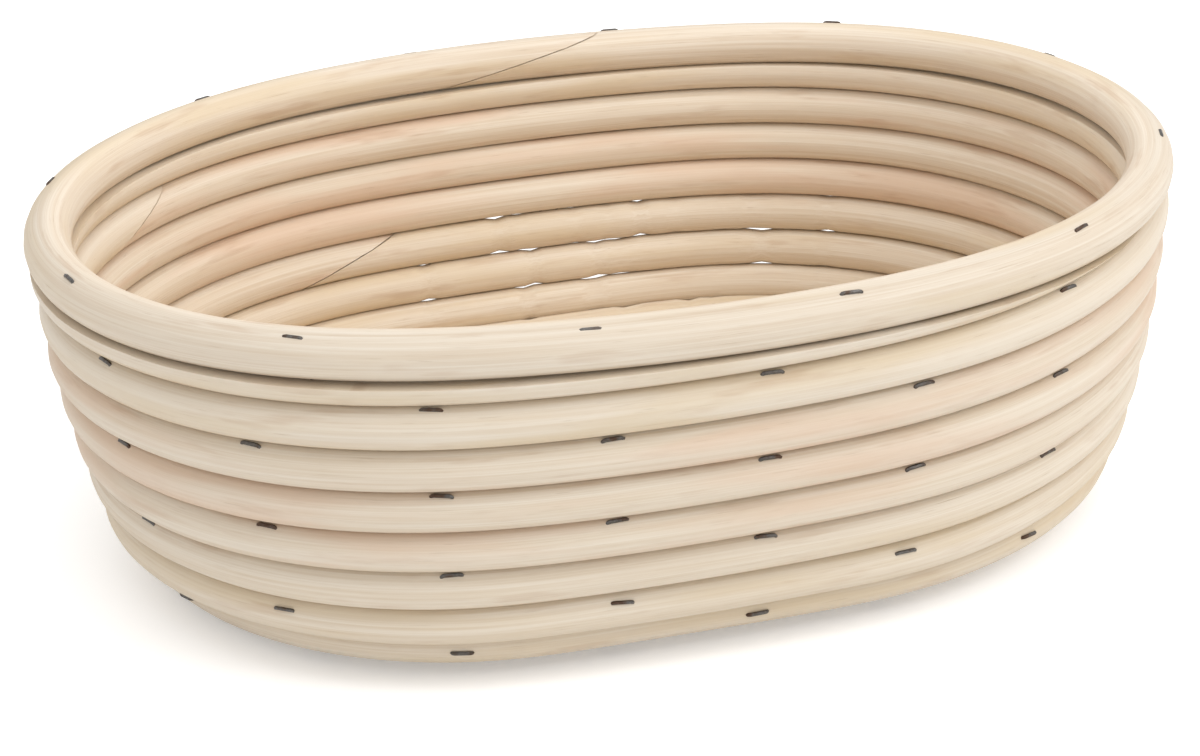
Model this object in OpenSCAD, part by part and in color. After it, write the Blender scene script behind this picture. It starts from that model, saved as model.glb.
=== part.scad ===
// Oval banneton (bread-proofing basket) of coiled rattan cane.
// One long coil starts at a straight core cane in the floor, winds outwards, turns up
// at the edge and climbs the wall. Its last row is cut level on top, and a thicker rim
// cane closed by a long scarf joint lies on it. Wire staples hold each row to the last.
// The origin is on the table, below the middle of the floor. X is the long direction.

/* [Basket] */
// Overall length of the basket over the rim
basket_len = 246; // [200:1:300]
// Overall width of the basket over the rim
basket_wid = 188; // [150:1:225]
// Rows of cane from the edge of the flat floor up to the rim
wall_rows = 9; // [7:1:11]

/* [Cane] */
// Diameter of the coiled cane
cane_d = 8.8; // [7:0.1:10.6]
// Space between one row of the coil and the next
row_gap = 0.35; // [0.3:0.05:0.8]
// Diameter of the rim cane
rim_d = 9.8; // [8:0.1:12]

/* [Profile] */
// Radius of the turn from floor to wall, at the middle of the cane
edge_r = 16.5; // [13:0.5:20]
// Outward lean of the wall just above the edge, in degrees
lean_low = 15; // [8:0.5:20]
// Outward lean of the wall at the rim, in degrees
lean_top = 1; // [0:0.5:5]
// How far the straight sides bow out to an oval at the rim
rim_bow = 7; // [3:1:16]

/* [Joints] */
// Length of the slanting scarf joint between two canes of the coil
scarf_len = 26; // [16:1:32]
// Length of the scarf joint that closes the rim
rim_scarf_len = 44; // [24:1:60]
// Space left in each scarf joint, along the cane
joint_gap = 0.4; // [0.2:0.1:1]
// Thickness of the last row where it runs out under the rim
tip_t = 1; // [0.8:0.1:2]

/* [Staples] */
// Diameter of the staple wire
wire_d = 0.8; // [0.6:0.1:1.2]
// Width of a staple over its crown
staple_w = 5; // [4:0.5:8]
// How far a coil staple sits out of the middle of the cane
staple_out = 2; // [1.6:0.1:2.6]
// How deep a staple bites into the row below the one that it holds
staple_bite = 4; // [2:0.5:5]
// Inward slant of the staples' legs, in degrees
staple_slant = 14; // [8:1:18]
// How far round the rim, outwards from its top, the rim's staples sit, in degrees
rim_staple_turn = 30; // [15:1:40]

/* [Hidden] */

steps = 60;
sides = 8;
rim_sides = 12;
cane_r = cane_d / 2;
rim_r = rim_d / 2;
// The coil's section is an eight-sided one: corner_r to its corners, flat_r to its sides.
corner_r = cane_r / sqrt(cos(180 / sides));
flat_r = corner_r * cos(180 / sides);
// A corner dips this far below a side where the section starts to tilt at the edge.
edge_dip = pow(corner_r * sin(180 / sides), 2) / (2 * edge_r);
pitch = cane_d + row_gap;
core_half = (basket_len - basket_wid) / 2;
floor_bow = 1;

// A row climbs evenly for part of its rise and takes the rest at the right-hand end.
even_share = 0.4;
climb_start = 0.45;
climb_span = 0.33;
tip_at = 0.69;
function ease(x) = (1 - cos(180 * min(1, max(0, x)))) / 2;
function rise(f) = even_share * f + (1 - even_share) * ease((f - climb_start) / climb_span);

// Profile of the basket, s millimetres along the coil's cross-section past the flat floor.
wall_turns = wall_rows - 1 + rise(tip_at);
edge_len = edge_r * (90 - lean_low) * PI / 180;
wall_len = pitch * wall_turns - edge_len;
wall_curve = wall_len / ((lean_low - lean_top) * PI / 180);
edge_out = edge_r * cos(lean_low);
edge_up = edge_r * (1 - sin(lean_low));
wall_out = wall_curve * (cos(lean_top) - cos(lean_low));
rim_half = basket_wid / 2 - rim_r;
floor_half = rim_half - edge_out - wall_out;
floor_turns = floor((floor_half - pitch) / pitch);
first_half = floor_half - pitch * floor_turns;

function wall_lean(s) = lean_low + (lean_top - lean_low) * (s - edge_len) / wall_len;
function lean(s) = s < 0 ? 90 : s < edge_len ? 90 - s / edge_r * 180 / PI : wall_lean(s);
function half_at(s) = s < 0 ? floor_half + s
    : s < edge_len ? floor_half + edge_r * cos(lean(s))
    : floor_half + edge_out + wall_curve * (cos(lean(s)) - cos(lean_low));
function height_at(s) = flat_r + edge_dip + (s < 0 ? 0
    : s < edge_len ? edge_r * (1 - sin(lean(s)))
    : edge_up + wall_curve * (sin(lean_low) - sin(lean(s))));

// Plan: a thin oval core of half-width bow, and a line parallel to it at half-width half.
// aim is the direction of the line's outward normal. turn goes evenly along the line, as
// travel does, so aim is found from it, a quarter at a time, by halving the range.
function bow_at(q) = let (up = (q - floor_turns) * pitch - edge_len)
    floor_bow + (rim_bow - floor_bow) * min(1, max(0, up / wall_len));
function travel(aim, bow) = core_half + bow - core_point(aim, bow).x + floor_half * aim * PI / 180;
function aim_search(want, bow, a, b, n) = let (m = (a + b) / 2)
    n == 0 ? m : travel(m, bow) > want ? aim_search(want, bow, a, m, n - 1)
    : aim_search(want, bow, m, b, n - 1);
function quarter_aim(part, bow) = part <= 0 ? 0 : part >= 1 ? 90
    : aim_search(part * travel(90, bow), bow, 0, 90, 24);
function aim_at(turn, bow) = turn > 360 ? 360 + aim_at(turn - 360, bow)
    : turn > 270 ? 360 - quarter_aim((360 - turn) / 90, bow)
    : turn > 180 ? 180 + quarter_aim((turn - 180) / 90, bow)
    : turn > 90 ? 180 - quarter_aim((180 - turn) / 90, bow) : quarter_aim(turn / 90, bow);
function core_point(aim, bow) = let (a = core_half + bow,
    g = sqrt(pow(a * cos(aim), 2) + pow(bow * sin(aim), 2)))
    [a * a * cos(aim) / g, bow * bow * sin(aim) / g];
function plan(aim, bow, half) = core_point(aim, bow) + (half - bow) * [cos(aim), sin(aim)];

// Coil position q counts turns from the middle of the back, anticlockwise from above.
function turn_at(q) = 90 + 360 * (q - floor(q));
function coil_aim(q) = aim_at(turn_at(q), bow_at(q));
function coil_turns(q) = floor(q) + rise((coil_aim(q) - 90) / 360);
function coil_s(q) = (coil_turns(q) - floor_turns) * pitch;
function coil_point(q) = let (s = coil_s(q), p = plan(coil_aim(q), bow_at(q), half_at(s)))
    [p.x, p.y, height_at(s)];
// Direction from a row to the next one, and the outward direction square to it
function coil_next(q) = let (n = coil_aim(q), l = lean(coil_s(q)))
    [sin(l) * cos(n), sin(l) * sin(n), cos(l)];
function coil_out(q) = let (n = coil_aim(q), l = lean(coil_s(q)))
    [cos(l) * cos(n), cos(l) * sin(n), -sin(l)];
function turn_len(half) = 4 * core_half + 2 * PI * half;

// Where the canes of the coil begin and end
last_q = floor_turns + wall_rows - 1 + tip_at;
level_z = height_at(coil_s(last_q - 1)) + flat_r;
start_q = -0.08;
floor_end_q = floor_turns - 0.4;
edge_end_q = last_q - 4.61;
wall_end_q = last_q - 1.52;
function tip_thickness(q) = level_z - height_at(coil_s(q)) + flat_r;
// The last row ends where it has thinned to tip_t, found by halving the range.
function tip_search(a, b, n) = let (m = (a + b) / 2)
    n == 0 ? a : tip_thickness(m) > tip_t ? tip_search(m, b, n - 1) : tip_search(a, m, n - 1);
tip_q = tip_search(last_q - 0.5, last_q, 14);

scarf_fade = 3;

// One corner of the cane's cross-section, cut level at the top of the last row
function cane_corner(q, k) = let (angle = 360 * (k + 0.5) / sides,
    up = corner_r * cos(angle), out = corner_r * sin(angle),
    p = coil_point(q), u = coil_next(q), v = coil_out(q), top = p + up * u + out * v)
    top.z <= level_z ? top : level_corner(p, u, v, out);
function level_corner(p, u, v, out) = let (cut = (level_z - p.z) / u.z,
    room = min(flat_r, flat_r * (1 + tan(180 / sides)) - abs(cut)),
    side = sign(out) * min(abs(out), room))
    p + (level_z - p.z - side * v.z) / u.z * u + side * v;

// A scarf slants down along the cane: its lower corners reach further forward.
function slant(k, n) = -cos(360 * (k + 0.5) / n);
function fade(q, joint_q, half_q) = max(0, 1 - abs(q - joint_q) / (scarf_fade * half_q));
function cane_shift(q, k, q0, q1, cut0, cut1) = let (half_q = scarf_len / 2 / turn_len(half_at(coil_s(q))))
    slant(k, sides) * half_q * max(cut0 * fade(q, q0, half_q), cut1 * fade(q, q1, half_q));

// Even stations on a cane from q0 to q1, with the ends themselves
function stations(q0, q1) = let (a = ceil(q0 * steps + 0.3), b = floor(q1 * steps - 0.3))
    concat([q0], [for (i = [a:b]) i / steps], [q1]);
// Faces of a tube of rings, each of n corners
function tube_faces(rings, n) = concat(
    [for (k = [1:n - 2]) [0, k, k + 1]],
    [for (k = [1:n - 2]) [(rings - 1) * n, (rings - 1) * n + k + 1, (rings - 1) * n + k]],
    [for (i = [0:rings - 2], k = [0:n - 1]) [i * n + k, (i + 1) * n + k, i * n + (k + 1) % n]],
    [for (i = [0:rings - 2], k = [0:n - 1])
        [(i + 1) * n + k, (i + 1) * n + (k + 1) % n, i * n + (k + 1) % n]]);

// A cane of the coil; cut0 and cut1 are 1 for a scarf at that end and 0 for a square end
module coil_cane(q0, q1, cut0, cut1) {
    list = stations(q0, q1);
    corners = [for (q = list, k = [0:sides - 1])
        cane_corner(q + cane_shift(q, k, q0, q1, cut0, cut1), k)];
    polyhedron(points = corners, faces = tube_faces(len(list), sides), convexity = 10);
}

// Rim: one level loop on top of the last row
rim_z = level_z + rim_r + row_gap / 4;
rim_joint_q = 0;
rim_steps = 66;
function rim_point(q) = let (p = plan(aim_at(turn_at(q), rim_bow), rim_bow, rim_half)) [p.x, p.y, rim_z];
function rim_out(q) = let (n = aim_at(turn_at(q), rim_bow)) [cos(n), sin(n), 0];
function rim_corner(q, k) = let (c = rim_r / cos(180 / rim_sides), angle = 360 * (k + 0.5) / rim_sides)
    rim_point(q) + c * cos(angle) * [0, 0, 1] + c * sin(angle) * rim_out(q);
function rim_shift(q, k, q0, q1) = let (half_q = rim_scarf_len / 2 / turn_len(rim_half))
    slant(k, rim_sides) * half_q * max(fade(q, q0, half_q), fade(q, q1, half_q));

// Staples: a crown along the cane, and two legs that point down into the row below
module staple(place, along, down, leg) {
    side = cross(down, along);
    leg_x = (staple_w - wire_d) / 2;
    multmatrix([[along.x, side.x, down.x, place.x], [along.y, side.y, down.y, place.y],
        [along.z, side.z, down.z, place.z], [0, 0, 0, 1]]) {
        rotate([0, 90, 0])
            cylinder(h = staple_w, d = wire_d, center = true, $fn = 16);
        for (x = [-leg_x, leg_x])
            translate([x, 0, 0])
                cylinder(h = leg, d = wire_d, $fn = 16);
    }
}
crown_up = sqrt(cane_r * cane_r - staple_out * staple_out) + wire_d / 2;
coil_leg = pitch + wire_d / 2 + staple_bite;
module coil_staple(q) {
    along = [-sin(coil_aim(q)), cos(coil_aim(q)), 0];
    step = coil_point(q) - coil_point(q - 1);
    square = step - (step * along) * along;
    up = square / norm(square);
    out = cross(along, up);
    place = coil_point(q) + crown_up * up + staple_out * out;
    staple(place, along, -cos(staple_slant) * up - sin(staple_slant) * out, coil_leg);
}
// The coil's staples are numbered along it at one even step. A step of so many and a half
// to the turn sets each row's staples midway between those of the row below.
staples_a_turn = 9.5;
staple_phase = 0.4;
end_space = 0.03;
core_staple_list = [-1, 0, 4, 5];
function staple_q(i) = (i + staple_phase) / staples_a_turn;
module staple_row(q0, q1) {
    for (i = [ceil(q0 * staples_a_turn - staple_phase):floor(q1 * staples_a_turn - staple_phase)])
        coil_staple(staple_q(i));
}
rim_staple_count = 12;
rim_leg = rim_d + staple_bite;

// How far a square end of half-width side reaches into a round space of radius room
function core_reach(room, side) = sqrt(max(0, room * room - side * side));
module core_cane() {
    // The first turn lies closer round the left end than round the right end.
    offset_y = -pitch * rise(0.5) / 2;
    left_room = first_half - cane_r - row_gap;
    right_room = first_half + pitch * rise(0.62) - cane_r - row_gap;
    left = core_half + core_reach(left_room, cane_r);
    right = core_half + core_reach(right_room, cane_r - offset_y);
    color("burlywood")
        translate([-left, offset_y, cane_r])
            rotate([0, 90, 0])
                cylinder(h = left + right, d = cane_d, $fn = 48);
}
module floor_cane() {
    color("burlywood")
        coil_cane(start_q, floor_end_q, 0, 1);
}
module edge_cane() {
    gap_q = joint_gap / turn_len(floor_half);
    color("wheat")
        coil_cane(floor_end_q + gap_q, edge_end_q, 1, 1);
}
module wall_cane() {
    gap_q = joint_gap / turn_len(rim_half);
    color("burlywood")
        coil_cane(edge_end_q + gap_q, wall_end_q, 1, 1);
}
module levelling_cane() {
    gap_q = joint_gap / turn_len(rim_half);
    color("wheat")
        coil_cane(wall_end_q + gap_q, tip_q, 1, 0);
}
module rim_cane() {
    gap_q = joint_gap / turn_len(rim_half);
    q0 = rim_joint_q + gap_q / 2;
    q1 = rim_joint_q + 1 - gap_q / 2;
    list = [for (i = [0:rim_steps]) q0 + (q1 - q0) * i / rim_steps];
    corners = [for (q = list, k = [0:rim_sides - 1]) rim_corner(q + rim_shift(q, k, q0, q1), k)];
    color("navajowhite")
        polyhedron(points = corners, faces = tube_faces(len(list), rim_sides), convexity = 6);
}
module core_staples() {
    color("dimgray")
        for (i = core_staple_list)
            coil_staple(staple_q(i));
}
module floor_staples() {
    color("dimgray")
        staple_row(1 + end_space, floor_end_q - end_space);
}
module edge_staples() {
    color("dimgray")
        staple_row(floor_end_q + end_space, edge_end_q - end_space);
}
module wall_staples() {
    color("dimgray")
        staple_row(edge_end_q + end_space, wall_end_q - end_space);
}
module levelling_staples() {
    full_q = last_q - 1;
    color("dimgray")
        staple_row(wall_end_q + end_space, full_q);
}
module rim_staples() {
    color("dimgray")
        for (i = [0:rim_staple_count - 1]) {
            q = rim_joint_q + (i + 0.5) / rim_staple_count;
            out = rim_out(q);
            up = [0, 0, 1];
            place = rim_point(q) + rim_r * (cos(rim_staple_turn) * up + sin(rim_staple_turn) * out);
            staple(place, [-out.y, out.x, 0], -cos(staple_slant) * up - sin(staple_slant) * out, rim_leg);
        }
}

core_cane();
floor_cane();
edge_cane();
wall_cane();
levelling_cane();
rim_cane();
core_staples();
floor_staples();
edge_staples();
wall_staples();
levelling_staples();
rim_staples();
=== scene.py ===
"""Oval banneton of coiled rattan cane: the canes, their joints and staples, light and camera.

Lengths in the layout functions are in millimetres and angles in degrees, as in the part's
source. MM turns them into Blender's metres.
"""

import math
import random

import bpy
from mathutils import Matrix, Vector, noise


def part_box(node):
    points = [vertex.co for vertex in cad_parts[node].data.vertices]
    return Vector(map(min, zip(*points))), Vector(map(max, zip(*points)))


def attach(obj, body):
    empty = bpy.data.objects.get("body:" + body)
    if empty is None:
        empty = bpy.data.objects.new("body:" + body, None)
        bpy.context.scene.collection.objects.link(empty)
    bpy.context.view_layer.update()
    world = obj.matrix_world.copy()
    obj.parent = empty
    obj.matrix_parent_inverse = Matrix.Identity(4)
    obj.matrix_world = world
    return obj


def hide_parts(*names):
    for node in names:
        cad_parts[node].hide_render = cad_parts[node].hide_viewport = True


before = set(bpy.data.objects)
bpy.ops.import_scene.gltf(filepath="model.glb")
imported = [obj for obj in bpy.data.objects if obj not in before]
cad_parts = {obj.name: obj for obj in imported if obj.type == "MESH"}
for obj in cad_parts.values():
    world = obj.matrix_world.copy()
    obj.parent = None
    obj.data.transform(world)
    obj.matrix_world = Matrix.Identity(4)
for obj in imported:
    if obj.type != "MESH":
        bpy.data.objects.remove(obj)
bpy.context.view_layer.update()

MM = 0.001
random.seed(7)

# ---------------------------------------------------------------- sizes of the basket
# The overall sizes come from the frame, and the others are the part's own.
rim_low, rim_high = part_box("rim_cane")
basket_len = (rim_high.x - rim_low.x) / MM
basket_wid = (rim_high.y - rim_low.y) / MM
wall_rows = 9
cane_d = 8.8
row_gap = 0.35
rim_d = 9.8
edge_r = 16.5
lean_low = 15
lean_top = 1
rim_bow = 7
scarf_len = 26
rim_scarf_len = 44
wire_d = 0.8
staple_w = 5
staple_out = 2
staple_bite = 4
staple_slant = 14
rim_staple_turn = 30
staples_a_turn = 9.5
staple_phase = 0.4
end_space = 0.03
rim_staple_count = 12

# The visual canes are round, touch each other, and wander and swell as a real cane does.
touch = 0.04
wander_by = 0.3
swell_share = 0.02
floor_lift = 0.5
scarf_gap = 0.9
rim_scarf_gap = 1.1
staple_bend = 0.7
staple_twist = 5

cane_r = cane_d / 2
rim_r = rim_d / 2
pitch = cane_d + row_gap
core_half = (basket_len - basket_wid) / 2
floor_bow = 1
corner_r = cane_r / math.sqrt(math.cos(math.pi / 8))
flat_r = corner_r * math.cos(math.pi / 8)
edge_dip = (corner_r * math.sin(math.pi / 8)) ** 2 / (2 * edge_r)

# A row climbs evenly for part of its rise and takes the rest at the right-hand end.
even_share = 0.4
climb_start = 0.45
climb_span = 0.33
tip_at = 0.69


def ease(x):
    return (1 - math.cos(math.pi * min(1, max(0, x)))) / 2


def rise(f):
    return even_share * f + (1 - even_share) * ease((f - climb_start) / climb_span)


def sin(angle):
    return math.sin(math.radians(angle))


def cos(angle):
    return math.cos(math.radians(angle))


# ---------------------------------------------------------------- profile of the basket
wall_turns = wall_rows - 1 + rise(tip_at)
edge_len = edge_r * math.radians(90 - lean_low)
wall_len = pitch * wall_turns - edge_len
wall_curve = wall_len / math.radians(lean_low - lean_top)
edge_out = edge_r * cos(lean_low)
edge_up = edge_r * (1 - sin(lean_low))
wall_out = wall_curve * (cos(lean_top) - cos(lean_low))
rim_half = basket_wid / 2 - rim_r
floor_half = rim_half - edge_out - wall_out
floor_turns = math.floor((floor_half - pitch) / pitch)


def lean(s):
    """Lean of the wall from upright, s millimetres along the section past the flat floor."""
    if s < 0:
        return 90
    if s < edge_len:
        return 90 - math.degrees(s / edge_r)
    return lean_low + (lean_top - lean_low) * (s - edge_len) / wall_len


def half_at(s):
    if s < 0:
        return floor_half + s
    if s < edge_len:
        return floor_half + edge_r * cos(lean(s))
    return floor_half + edge_out + wall_curve * (cos(lean(s)) - cos(lean_low))


def height_at(s):
    base = flat_r + edge_dip
    if s < 0:
        return base
    if s < edge_len:
        return base + edge_r * (1 - sin(lean(s)))
    return base + edge_up + wall_curve * (sin(lean_low) - sin(lean(s)))


# ---------------------------------------------------------------- plan of the coil
def bow_at(q):
    up = (q - floor_turns) * pitch - edge_len
    return floor_bow + (rim_bow - floor_bow) * min(1, max(0, up / wall_len))


def core_point(aim, bow):
    a = core_half + bow
    g = math.hypot(a * cos(aim), bow * sin(aim))
    return Vector((a * a * cos(aim) / g, bow * bow * sin(aim) / g))


def plan(aim, bow, half):
    return core_point(aim, bow) + (half - bow) * Vector((cos(aim), sin(aim)))


def travel(aim, bow):
    return core_half + bow - core_point(aim, bow).x + floor_half * math.radians(aim)


HALVINGS = 24


def quarter_aim(part, bow):
    """Direction of the line's outward normal after part of a quarter turn, by halvings."""
    if part <= 0:
        return 0
    if part >= 1:
        return 90
    want = part * travel(90, bow)
    low, high = 0, 90
    for _ in range(HALVINGS):
        middle = (low + high) / 2
        if travel(middle, bow) > want:
            high = middle
        else:
            low = middle
    return (low + high) / 2


def aim_at(turn, bow):
    if turn > 360:
        return 360 + aim_at(turn - 360, bow)
    if turn > 270:
        return 360 - quarter_aim((360 - turn) / 90, bow)
    if turn > 180:
        return 180 + quarter_aim((turn - 180) / 90, bow)
    if turn > 90:
        return 180 - quarter_aim((180 - turn) / 90, bow)
    return quarter_aim(turn / 90, bow)


def turn_at(q):
    return 90 + 360 * (q - math.floor(q))


class Station:
    """Where the coil is after q turns from the middle of the back, and its directions there.

    along follows the cane, up points to the next row and out points out of the basket.
    """

    def __init__(self, q):
        bow = bow_at(q)
        aim = aim_at(turn_at(q), bow)
        turns = math.floor(q) + rise((aim - 90) / 360)
        s = (turns - floor_turns) * pitch
        flat = plan(aim, bow, half_at(s))
        tilt = lean(s)
        self.at = Vector((flat.x, flat.y, height_at(s)))
        self.along = Vector((-sin(aim), cos(aim), 0))
        self.up = Vector((sin(tilt) * cos(aim), sin(tilt) * sin(aim), cos(tilt)))
        self.out = Vector((cos(tilt) * cos(aim), cos(tilt) * sin(aim), -sin(tilt)))
        self.half = half_at(s)


def turn_len(half):
    return 4 * core_half + 2 * math.pi * half


# Where each cane of the coil starts and ends, in turns from the middle of the back.
last_q = floor_turns + wall_rows - 1 + tip_at
level_z = Station(last_q - 1).at.z + flat_r
start_q = -0.08
floor_end_q = floor_turns - 0.4
edge_end_q = last_q - 4.61
wall_end_q = last_q - 1.52
rim_z = level_z + rim_r + row_gap / 4
rim_joint_q = 0


class RimStation:
    """The same for the rim, which is one level loop."""

    def __init__(self, q):
        aim = aim_at(turn_at(q), rim_bow)
        flat = plan(aim, rim_bow, rim_half)
        self.at = Vector((flat.x, flat.y, rim_z))
        self.along = Vector((-sin(aim), cos(aim), 0))
        self.up = Vector((0, 0, 1))
        self.out = Vector((cos(aim), sin(aim), 0))
        self.half = rim_half


# ---------------------------------------------------------------- modelling by hand
def pick(*objects):
    """Selects these objects alone, with the last one active."""
    bpy.ops.object.select_all(action="DESELECT")
    for thing in objects:
        thing.select_set(True)
    bpy.context.view_layer.objects.active = objects[-1]


def select_faces(piece, wanted):
    """Selects the faces that wanted(face) accepts, for the next edit."""
    for vertex in piece.data.vertices:
        vertex.select = False
    for edge in piece.data.edges:
        edge.select = False
    for face in piece.data.polygons:
        face.select = wanted(face)


def edit(piece, *operators):
    """Runs operators in edit mode on what is selected in the piece."""
    pick(piece)
    bpy.ops.object.mode_set(mode="EDIT")
    bpy.ops.mesh.select_mode(type="FACE")
    for operator, settings in operators:
        operator(**settings)
    bpy.ops.object.mode_set(mode="OBJECT")


def select_all_faces(piece):
    select_faces(piece, lambda face: True)


def clean(piece):
    """Merges doubles and turns all faces outwards."""
    select_all_faces(piece)
    edit(
        piece,
        (bpy.ops.mesh.remove_doubles, {"threshold": 2e-6}),
        (bpy.ops.mesh.normals_make_consistent, {"inside": False}),
    )


def smooth(piece, angle):
    pick(piece)
    bpy.ops.object.shade_smooth_by_angle(angle=math.radians(angle))


ROUND = 8  # bevel resolution of a cane, which gives it 2 * (ROUND + 2) sides
SIDES = 2 * (ROUND + 2)


def sweep(name, stations, radius, swell):
    """A round cane along the stations. fibre holds each point's place in the cane's own
    terms: metres along it, then metres to the out side and up from its middle."""
    curve = bpy.data.curves.new(name, "CURVE")
    curve.dimensions = "3D"
    curve.bevel_depth = radius * MM
    curve.bevel_resolution = ROUND
    curve.use_fill_caps = True
    spline = curve.splines.new("POLY")
    spline.points.add(len(stations) - 1)
    for point, station, size in zip(spline.points, stations, swell):
        point.co = (*(station.at * MM), 1)
        point.radius = size
    piece = bpy.data.objects.new(name, curve)
    bpy.context.scene.collection.objects.link(piece)
    pick(piece)
    bpy.ops.object.convert(target="MESH")
    piece = bpy.context.view_layer.objects.active
    add_fibre(piece, stations)
    clean(piece)
    return piece


def add_fibre(piece, stations):
    distance = [0.0]
    for before, here in zip(stations, stations[1:]):
        distance.append(distance[-1] + (here.at - before.at).length * MM)
    offset = random.uniform(0, 5)
    fibre = piece.data.attributes.new("fibre", "FLOAT_VECTOR", "POINT")
    for i, vertex in enumerate(piece.data.vertices):
        # The two end caps come first, the far one before the near one.
        ring = i // SIDES - 2
        if ring == -2:
            ring = len(stations) - 1
        ring = max(ring, 0)
        station = stations[ring]
        from_middle = vertex.co - station.at * MM
        fibre.data[i].vector = (
            offset + distance[ring],
            from_middle.dot(station.out),
            from_middle.dot(station.up),
        )


def scarf_cut(piece, station, length, radius, gap, keep_before):
    """Cuts one end of a cane on the slant. The slant runs down along the cane."""
    normal = (station.along * radius + station.up * length / 2).normalized()
    side = -1 if keep_before else 1
    middle = (station.at + station.along * gap / 2 * side) * MM
    reach = (length / 2 + 6 * radius) * MM
    fibre = piece.data.attributes["fibre"].data
    runs = [item.vector[0] for item in fibre]
    end = max(runs) if keep_before else min(runs)

    def near_end(face):
        return all(abs(runs[v] - end) < reach for v in face.vertices)

    select_faces(piece, near_end)
    edit(
        piece,
        (
            bpy.ops.mesh.bisect,
            {
                "plane_co": middle,
                "plane_no": normal,
                "use_fill": True,
                "clear_outer": keep_before,
                "clear_inner": not keep_before,
            },
        ),
    )


def wander(q, seed, size, step):
    """Slow random change along a cane, from -size to size."""
    return size * noise.noise(Vector((q * step, seed * 3.7, 0.5)))


STEPS_A_TURN = 200
RIM_STEPS = 300


def coil_cane(name, q0, q1, cut0, cut1, seed):
    """A cane of the coil from q0 to q1, with a scarf where cut0 or cut1 is true."""
    spare = scarf_len / 2 + 2 * cane_r
    start = q0 - spare / turn_len(Station(q0).half) if cut0 else q0
    end = q1 + spare / turn_len(Station(q1).half) if cut1 else q1
    count = math.ceil((end - start) * STEPS_A_TURN)
    stations = []
    swell = []
    for i in range(count + 1):
        q = start + (end - start) * i / count
        station = Station(q)
        # The floor's rows are lifted, so that their extra thickness stays above the table.
        lift = floor_lift * station.out.z
        station.at = station.at + station.out * (wander(q, seed, wander_by, 9) + lift)
        stations.append(station)
        swell.append(1 + wander(q, seed + 5, swell_share, 14) - speck_gap(q))
    cane = sweep(name, stations, pitch / 2 + touch, swell)
    if cut0:
        scarf_cut(cane, Station(q0), scarf_len, cane_r, scarf_gap, False)
    if cut1:
        scarf_cut(cane, Station(q1), scarf_len, cane_r, scarf_gap, True)
    return cane


def speck_gap(q):
    """Share by which the cane is thinner here: low on the back, light shows between rows."""
    past_back = (q + 0.5) % 1 - 0.5
    low = floor_turns + 0.6 < q < floor_turns + 4.4
    if not low or not -0.13 < past_back < 0.05:
        return 0
    return max(0, wander(q, 21, 0.28, 190) - 0.04)


# ---------------------------------------------------------------- materials
class Nodes:
    """Short names for adding nodes to a tree and joining them."""

    def __init__(self, tree):
        self.tree = tree

    def add(self, kind, **settings):
        made = self.tree.nodes.new(kind)
        for key, value in settings.items():
            setattr(made, key, value)
        return made

    def link(self, out, into):
        self.tree.links.new(out, into)

    def math(self, operation, a, b, clamp=False):
        made = self.add("ShaderNodeMath", operation=operation, use_clamp=clamp)
        for slot, value in zip(made.inputs, (a, b)):
            if isinstance(value, (int, float)):
                slot.default_value = value
            else:
                self.link(value, slot)
        return made.outputs[0]

    def spread(self, value, low, high, to_low=0.0, to_high=1.0):
        made = self.add("ShaderNodeMapRange", interpolation_type="SMOOTHSTEP")
        self.link(value, made.inputs["Value"])
        made.inputs["From Min"].default_value = low
        made.inputs["From Max"].default_value = high
        made.inputs["To Min"].default_value = to_low
        made.inputs["To Max"].default_value = to_high
        return made.outputs["Result"]

    def stretch(self, vector, along, across):
        made = self.add("ShaderNodeMapping")
        self.link(vector, made.inputs["Vector"])
        made.inputs["Scale"].default_value = (along, across, across)
        return made.outputs["Vector"]

    def noise(self, vector, detail, roughness):
        made = self.add("ShaderNodeTexNoise")
        self.link(vector, made.inputs["Vector"])
        made.inputs["Scale"].default_value = 1
        made.inputs["Detail"].default_value = detail
        made.inputs["Roughness"].default_value = roughness
        return made.outputs[0]

    def mix(self, factor, a, b, blend="MIX"):
        made = self.add("ShaderNodeMix", data_type="RGBA", blend_type=blend)
        for slot, value in ((made.inputs[0], factor), (made.inputs[6], a), (made.inputs[7], b)):
            if isinstance(value, (int, float, tuple)):
                slot.default_value = value
            else:
                self.link(value, slot)
        return made.outputs[2]


def colour(r, g, b):
    return (r, g, b, 1.0)


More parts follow.
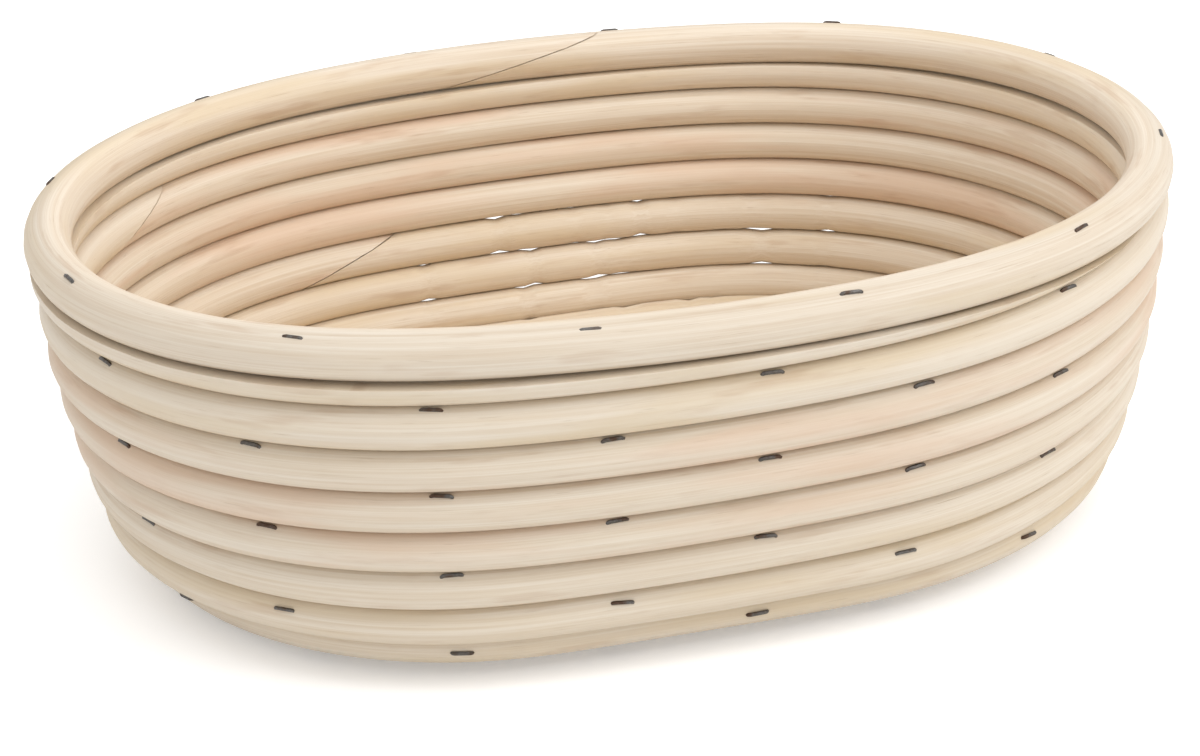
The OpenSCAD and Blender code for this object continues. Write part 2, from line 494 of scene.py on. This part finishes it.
def fibre_group():
    """Rattan core: long fine fibres, slow tint changes, pores, a polished face on the out side,
    and painted shade over the out side.
    """
    tree = bpy.data.node_groups.new("rattan fibre", "ShaderNodeTree")
    tree.interface.new_socket("Fibre", in_out="INPUT", socket_type="NodeSocketVector")
    for name in ("Cane", "Pale", "Warm"):
        tree.interface.new_socket(name, in_out="INPUT", socket_type="NodeSocketColor")
    tree.interface.new_socket("Colour", in_out="OUTPUT", socket_type="NodeSocketColor")
    tree.interface.new_socket("Roughness", in_out="OUTPUT", socket_type="NodeSocketFloat")
    tree.interface.new_socket("Height", in_out="OUTPUT", socket_type="NodeSocketFloat")
    n = Nodes(tree)
    given = n.add("NodeGroupInput")
    result = n.add("NodeGroupOutput")
    fibre = given.outputs["Fibre"]

    fine = n.noise(n.stretch(fibre, 22, 3600), 3, 0.6)
    broad = n.noise(n.stretch(fibre, 9, 900), 2, 0.5)
    tint = n.noise(n.stretch(fibre, 14, 130), 2, 0.55)
    blotch = n.noise(n.stretch(fibre, 34, 260), 3, 0.6)
    pore = n.noise(n.stretch(fibre, 110, 5200), 2, 0.5)

    fine_mask = n.spread(fine, 0.35, 0.68)
    broad_mask = n.spread(broad, 0.38, 0.64)
    tint_mask = n.spread(tint, 0.42, 0.68)
    blotch_mask = n.spread(blotch, 0.56, 0.72)
    pore_mask = n.spread(pore, 0.66, 0.76)

    fine_part = n.math("MULTIPLY", fine_mask, 0.45)
    streaks = n.math("ADD", fine_part, n.math("MULTIPLY", broad_mask, 0.4))
    base = n.mix(streaks, given.outputs["Cane"], given.outputs["Pale"])
    warmed = n.mix(n.math("MULTIPLY", tint_mask, 0.6), base, given.outputs["Warm"])
    stained = n.mix(
        n.math("MULTIPLY", blotch_mask, 0.28), warmed, colour(0.62, 0.42, 0.27), "MULTIPLY"
    )
    pored = n.mix(n.math("MULTIPLY", pore_mask, 0.4), stained, colour(0.45, 0.3, 0.18))

    # Handling polishes and pales the face that stands out most.
    parts = n.add("ShaderNodeSeparateXYZ")
    n.link(fibre, parts.inputs[0])
    worn = n.spread(parts.outputs["Y"], 0.0032, 0.0048)
    worn = n.math("MULTIPLY", worn, n.spread(blotch, 0.35, 0.6))
    polished = n.mix(n.math("MULTIPLY", worn, 0.25), pored, given.outputs["Pale"])
    # Painted shade: a grey multiply darkens the faces on each cane's out side, to bring their
    # brightness nearer that of the inner faces.
    out_side_shade = n.spread(parts.outputs["Y"], -0.002, 0.002)
    final = n.mix(out_side_shade, polished, colour(0.87, 0.88, 0.89), "MULTIPLY")
    n.link(final, result.inputs["Colour"])

    rough = n.math("ADD", 0.56, n.math("MULTIPLY", fine_mask, 0.16))
    rough = n.math("SUBTRACT", rough, n.math("MULTIPLY", worn, 0.1))
    n.link(rough, result.inputs["Roughness"])

    height = n.math("ADD", n.math("MULTIPLY", fine, 0.6), n.math("MULTIPLY", broad, 0.9))
    height = n.math("SUBTRACT", height, n.math("MULTIPLY", pore_mask, 0.5))
    n.link(height, result.inputs["Height"])
    return tree


def cane_material(name, group, cane, pale, warm):
    material = bpy.data.materials.new(name)
    material.use_nodes = True
    n = Nodes(material.node_tree)
    shader = material.node_tree.nodes["Principled BSDF"]
    place = n.add("ShaderNodeAttribute", attribute_name="fibre")
    fibre = n.add("ShaderNodeGroup", node_tree=group)
    n.link(place.outputs["Vector"], fibre.inputs["Fibre"])
    fibre.inputs["Cane"].default_value = cane
    fibre.inputs["Pale"].default_value = pale
    fibre.inputs["Warm"].default_value = warm
    bump = n.add("ShaderNodeBump")
    bump.inputs["Strength"].default_value = 0.35
    bump.inputs["Distance"].default_value = 0.0002
    n.link(fibre.outputs["Height"], bump.inputs["Height"])
    n.link(fibre.outputs["Colour"], shader.inputs["Base Color"])
    n.link(fibre.outputs["Roughness"], shader.inputs["Roughness"])
    n.link(bump.outputs["Normal"], shader.inputs["Normal"])
    shader.inputs["Specular IOR Level"].default_value = 0.35
    return material


def wire_material(name):
    """Dark steel wire with patches of rust and drawn scratches."""
    material = bpy.data.materials.new(name)
    material.use_nodes = True
    n = Nodes(material.node_tree)
    shader = material.node_tree.nodes["Principled BSDF"]
    place = n.add("ShaderNodeTexCoord").outputs["Object"]
    patches = n.noise(n.stretch(place, 260, 260), 3, 0.6)
    scratches = n.noise(n.stretch(place, 2500, 2500), 2, 0.5)
    rust = n.spread(patches, 0.46, 0.62)
    steel = n.mix(scratches, colour(0.06, 0.055, 0.05), colour(0.2, 0.19, 0.18))
    rusted = n.mix(n.math("MULTIPLY", rust, 0.7), steel, colour(0.1, 0.045, 0.02))
    n.link(rusted, shader.inputs["Base Color"])
    n.link(n.spread(patches, 0.3, 0.7, 0.35, 0.7), shader.inputs["Roughness"])
    bump = n.add("ShaderNodeBump")
    bump.inputs["Strength"].default_value = 0.3
    bump.inputs["Distance"].default_value = 0.00005
    n.link(scratches, bump.inputs["Height"])
    n.link(bump.outputs["Normal"], shader.inputs["Normal"])
    shader.inputs["Metallic"].default_value = 0.8
    return material


# ---------------------------------------------------------------- the canes
def core_piece():
    """The straight cane that the coil starts from: a cylinder with softened ends."""
    low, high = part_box("core_cane")
    middle = (low + high) / 2
    bpy.ops.mesh.primitive_cylinder_add(
        vertices=SIDES,
        radius=cane_r * MM,
        depth=high.x - low.x,
        location=middle,
        rotation=(0, math.pi / 2, 0),
    )
    core = bpy.context.view_layer.objects.active
    core.name = "core_cane_round"
    pick(core)
    bpy.ops.object.transform_apply(location=True, rotation=True, scale=True)
    fibre = core.data.attributes.new("fibre", "FLOAT_VECTOR", "POINT")
    for item, vertex in zip(fibre.data, core.data.vertices):
        item.vector = (vertex.co.x, vertex.co.y - middle.y, vertex.co.z - middle.z)
    select_faces(core, lambda face: abs(face.normal.x) > 0.9)
    edit(
        core,
        (bpy.ops.mesh.bevel, {"offset": 0.0008, "segments": 3, "affect": "EDGES"}),
    )
    return core


def levelling_piece():
    """The last row: the same cane cut level on top, so that it tapers to a thin tip."""
    cane = coil_cane("levelling_cane_round", wall_end_q, last_q - 0.02, True, False, 4)
    select_all_faces(cane)
    edit(
        cane,
        (
            bpy.ops.mesh.bisect,
            {
                "plane_co": (0, 0, level_z * MM),
                "plane_no": (0, 0, 1),
                "use_fill": True,
                "clear_outer": True,
            },
        ),
    )
    return cane


def rim_piece():
    """The rim cane: one loop whose two ends lie side by side in a long scarf joint."""
    q0, q1 = rim_joint_q, rim_joint_q + 1
    grow = (rim_scarf_len / 2 + 2 * rim_r) / turn_len(rim_half)
    stations = []
    swell = []
    for i in range(RIM_STEPS + 1):
        q = q0 - grow + (q1 - q0 + 2 * grow) * i / RIM_STEPS
        station = RimStation(q)
        # The loop isn't quite level, nor quite even in thickness.
        loop = 2 * math.pi * (q - q0)
        lift = 0.18 * math.sin(3 * loop) + 0.12 * math.sin(5 * loop + 1)
        station.at = station.at + Vector((0, 0, lift))
        stations.append(station)
        swell.append(1 + 0.008 * math.sin(4 * loop + 2))
    rim = sweep("rim_cane_round", stations, rim_r, swell)
    scarf_cut(rim, RimStation(q0), rim_scarf_len, rim_r, rim_scarf_gap, False)
    scarf_cut(rim, RimStation(q1), rim_scarf_len, rim_r, rim_scarf_gap, True)
    return rim


# ---------------------------------------------------------------- the staples
def bent_wire(name, leg_len):
    """One staple at the origin: crown along X, legs down Z, with rounded shoulders."""
    half = (staple_w - wire_d) / 2
    bend = staple_bend
    points = [(-half, -leg_len), (-half, -bend)]
    points += [(-half + bend * (1 - cos(a)), -bend + bend * sin(a)) for a in (30, 60)]
    points += [(-half + bend, 0), (half - bend, 0)]
    points += [(half - bend * (1 - cos(a)), -bend + bend * sin(a)) for a in (60, 30)]
    points += [(half, -bend), (half, -leg_len)]
    curve = bpy.data.curves.new(name, "CURVE")
    curve.dimensions = "3D"
    curve.bevel_depth = wire_d / 2 * MM
    curve.bevel_resolution = 1
    curve.use_fill_caps = True
    spline = curve.splines.new("POLY")
    spline.points.add(len(points) - 1)
    for point, (x, z) in zip(spline.points, points):
        point.co = (x * MM, 0, z * MM, 1)
    staple = bpy.data.objects.new(name, curve)
    bpy.context.scene.collection.objects.link(staple)
    pick(staple)
    bpy.ops.object.convert(target="MESH")
    staple = bpy.context.view_layer.objects.active
    clean(staple)
    return staple


def staple_frames(q_list, rim):
    """Where each staple sits: its crown's middle, the direction of its crown and of up."""
    frames = []
    for q in q_list:
        if rim:
            station = RimStation(q)
            up, out = station.up, station.out
            to_crown = rim_r * (cos(rim_staple_turn) * up + sin(rim_staple_turn) * out)
        else:
            station = Station(q)
            step = station.at - Station(q - 1).at
            up = (step - step.dot(station.along) * station.along).normalized()
            out = station.along.cross(up)
            crown_up = math.sqrt(cane_r ** 2 - staple_out ** 2) + wire_d / 2
            to_crown = crown_up * up + staple_out * out
        leg_up = cos(staple_slant) * up + sin(staple_slant) * out
        frames.append((station.at + to_crown, station.along, leg_up))
    return frames


def staples_piece(name, q_list, rim=False):
    """All the staples that hold one cane, each a copy of one bent wire, as one piece."""
    leg_len = rim_d + staple_bite if rim else pitch + wire_d / 2 + staple_bite
    first = bent_wire(name, leg_len)
    copies = []
    for place, along, up in staple_frames(q_list, rim):
        twist = random.uniform(-staple_twist, staple_twist)
        side = up.cross(along)
        turned = along * cos(twist) + side * sin(twist)
        cross_side = up.cross(turned)
        matrix = Matrix((
            (turned.x, cross_side.x, up.x, place.x * MM),
            (turned.y, cross_side.y, up.y, place.y * MM),
            (turned.z, cross_side.z, up.z, place.z * MM),
            (0, 0, 0, 1),
        ))
        copy = first.copy()
        copy.data = first.data.copy()
        copy.data.transform(matrix)
        bpy.context.scene.collection.objects.link(copy)
        copies.append(copy)
    bpy.data.objects.remove(first)
    pick(*copies)
    bpy.ops.object.join()
    joined = bpy.context.view_layer.objects.active
    joined.name = name
    smooth(joined, 50)
    return joined


def staple_q(i):
    """The coil's staples are numbered along it, each row's midway between the last row's."""
    return (i + staple_phase) / staples_a_turn


def staple_row(q0, q1):
    first = math.ceil(q0 * staples_a_turn - staple_phase)
    last = math.floor(q1 * staples_a_turn - staple_phase)
    return [staple_q(i) for i in range(first, last + 1)]


# ---------------------------------------------------------------- putting it together
def finish_piece(piece, node, material, angle=35):
    piece.data.materials.clear()
    piece.data.materials.append(material)
    smooth(piece, angle)
    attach(piece, "root")
    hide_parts(node)


def build_canes():
    fibre = fibre_group()
    cream = colour(0.7, 0.575, 0.43)
    honey = colour(0.67, 0.535, 0.395)
    pale = colour(0.82, 0.73, 0.61)
    warm = colour(0.72, 0.51, 0.365)
    straw = colour(0.705, 0.56, 0.37)
    floor_mat = cane_material("floor cane", fibre, honey, pale, warm)
    edge_mat = cane_material("edge cane", fibre, cream, pale, straw)
    wall_mat = cane_material("wall cane", fibre, cream, pale, warm)
    last_mat = cane_material("levelling cane", fibre, colour(0.73, 0.61, 0.47), pale, straw)
    rim_mat = cane_material("rim cane", fibre, colour(0.69, 0.565, 0.43), pale, straw)
    finish_piece(core_piece(), "core_cane", floor_mat)
    floor_cane = coil_cane("floor_cane_round", start_q, floor_end_q, False, True, 1)
    finish_piece(floor_cane, "floor_cane", floor_mat)
    edge_cane = coil_cane("edge_cane_round", floor_end_q, edge_end_q, True, True, 2)
    finish_piece(edge_cane, "edge_cane", edge_mat)
    wall_cane = coil_cane("wall_cane_round", edge_end_q, wall_end_q, True, True, 3)
    finish_piece(wall_cane, "wall_cane", wall_mat)
    finish_piece(levelling_piece(), "levelling_cane", last_mat)
    finish_piece(rim_piece(), "rim_cane", rim_mat)


def build_staples():
    wire = wire_material("staple wire")
    rim_list = [rim_joint_q + (i + 0.5) / rim_staple_count for i in range(rim_staple_count)]
    rows = {
        "core_staples": [staple_q(i) for i in (-1, 0, 4, 5)],
        "floor_staples": staple_row(1 + end_space, floor_end_q - end_space),
        "edge_staples": staple_row(floor_end_q + end_space, edge_end_q - end_space),
        "wall_staples": staple_row(edge_end_q + end_space, wall_end_q - end_space),
        "levelling_staples": staple_row(wall_end_q + end_space, last_q - 1),
        "rim_staples": rim_list,
    }
    for node, q_list in rows.items():
        piece = staples_piece(node + "_bent", q_list, node == "rim_staples")
        finish_piece(piece, node, wire, 50)


def build_floor():
    bpy.ops.mesh.primitive_plane_add(size=8, location=(0, 2, 0))
    floor = bpy.context.view_layer.objects.active
    floor.name = "floor"
    pick(floor)
    bpy.ops.object.transform_apply(location=True, rotation=True, scale=True)
    material = bpy.data.materials.new("pale floor")
    material.use_nodes = True
    shader = material.node_tree.nodes["Principled BSDF"]
    shader.inputs["Base Color"].default_value = colour(0.97, 0.97, 0.97)
    shader.inputs["Roughness"].default_value = 0.55
    shader.inputs["Emission Strength"].default_value = 1
    # The glow keeps the shadows on the floor faint, and throws no light on the basket.
    n = Nodes(material.node_tree)
    seen = n.add("ShaderNodeLightPath").outputs["Is Camera Ray"]
    glow = n.mix(seen, colour(0, 0, 0), colour(0.25, 0.25, 0.25))
    n.link(glow, shader.inputs["Emission Color"])
    floor.data.materials.append(material)


def area_light(name, place, target, size, power):
    lamp = bpy.data.lights.new(name, "AREA")
    lamp.shape = "DISK"
    lamp.size = size
    lamp.energy = power
    holder = bpy.data.objects.new(name, lamp)
    holder.location = place
    aim = Vector(target) - Vector(place)
    holder.rotation_euler = aim.to_track_quat("-Z", "Y").to_euler()
    bpy.context.scene.collection.objects.link(holder)


def build_light():
    world = bpy.data.worlds.new("studio")
    world.use_nodes = True
    world.node_tree.nodes["Background"].inputs["Color"].default_value = colour(1, 1, 1)
    world.node_tree.nodes["Background"].inputs["Strength"].default_value = 0.92
    bpy.context.scene.world = world
    basket_middle = (0, 0, 0.03)
    area_light("key", (0.7, -0.55, 0.8), basket_middle, 0.7, 4.2)
    area_light("top", (0, -0.3, 1.15), basket_middle, 0.7, 2.8)
    bpy.context.scene.view_settings.view_transform = "Standard"


def build_camera():
    """The camera stands low in front of the basket, slightly to its left."""
    height, swing, tilt, away = 23.9, -12.0, -3.3, 0.582
    target = Vector((-0.0125, 0, 0.03))
    back = Vector((sin(swing) * cos(height), -cos(swing) * cos(height), sin(height)))
    right = (-back).cross(Vector((0, 0, 1))).normalized()
    up = right.cross(-back)
    right, up = right * cos(tilt) + up * sin(tilt), up * cos(tilt) - right * sin(tilt)
    place = target + back * away
    camera = bpy.data.cameras.new("camera")
    camera.sensor_width = 36
    camera.lens = 79.2
    camera.shift_x = 0.0364
    camera.shift_y = -0.0054
    camera.clip_start = 0.01
    holder = bpy.data.objects.new("camera", camera)
    holder.matrix_world = Matrix((
        (right.x, up.x, back.x, place.x),
        (right.y, up.y, back.y, place.y),
        (right.z, up.z, back.z, place.z),
        (0, 0, 0, 1),
    ))
    bpy.context.scene.collection.objects.link(holder)
    bpy.context.scene.camera = holder


build_canes()
build_staples()
build_floor()
build_light()
build_camera()
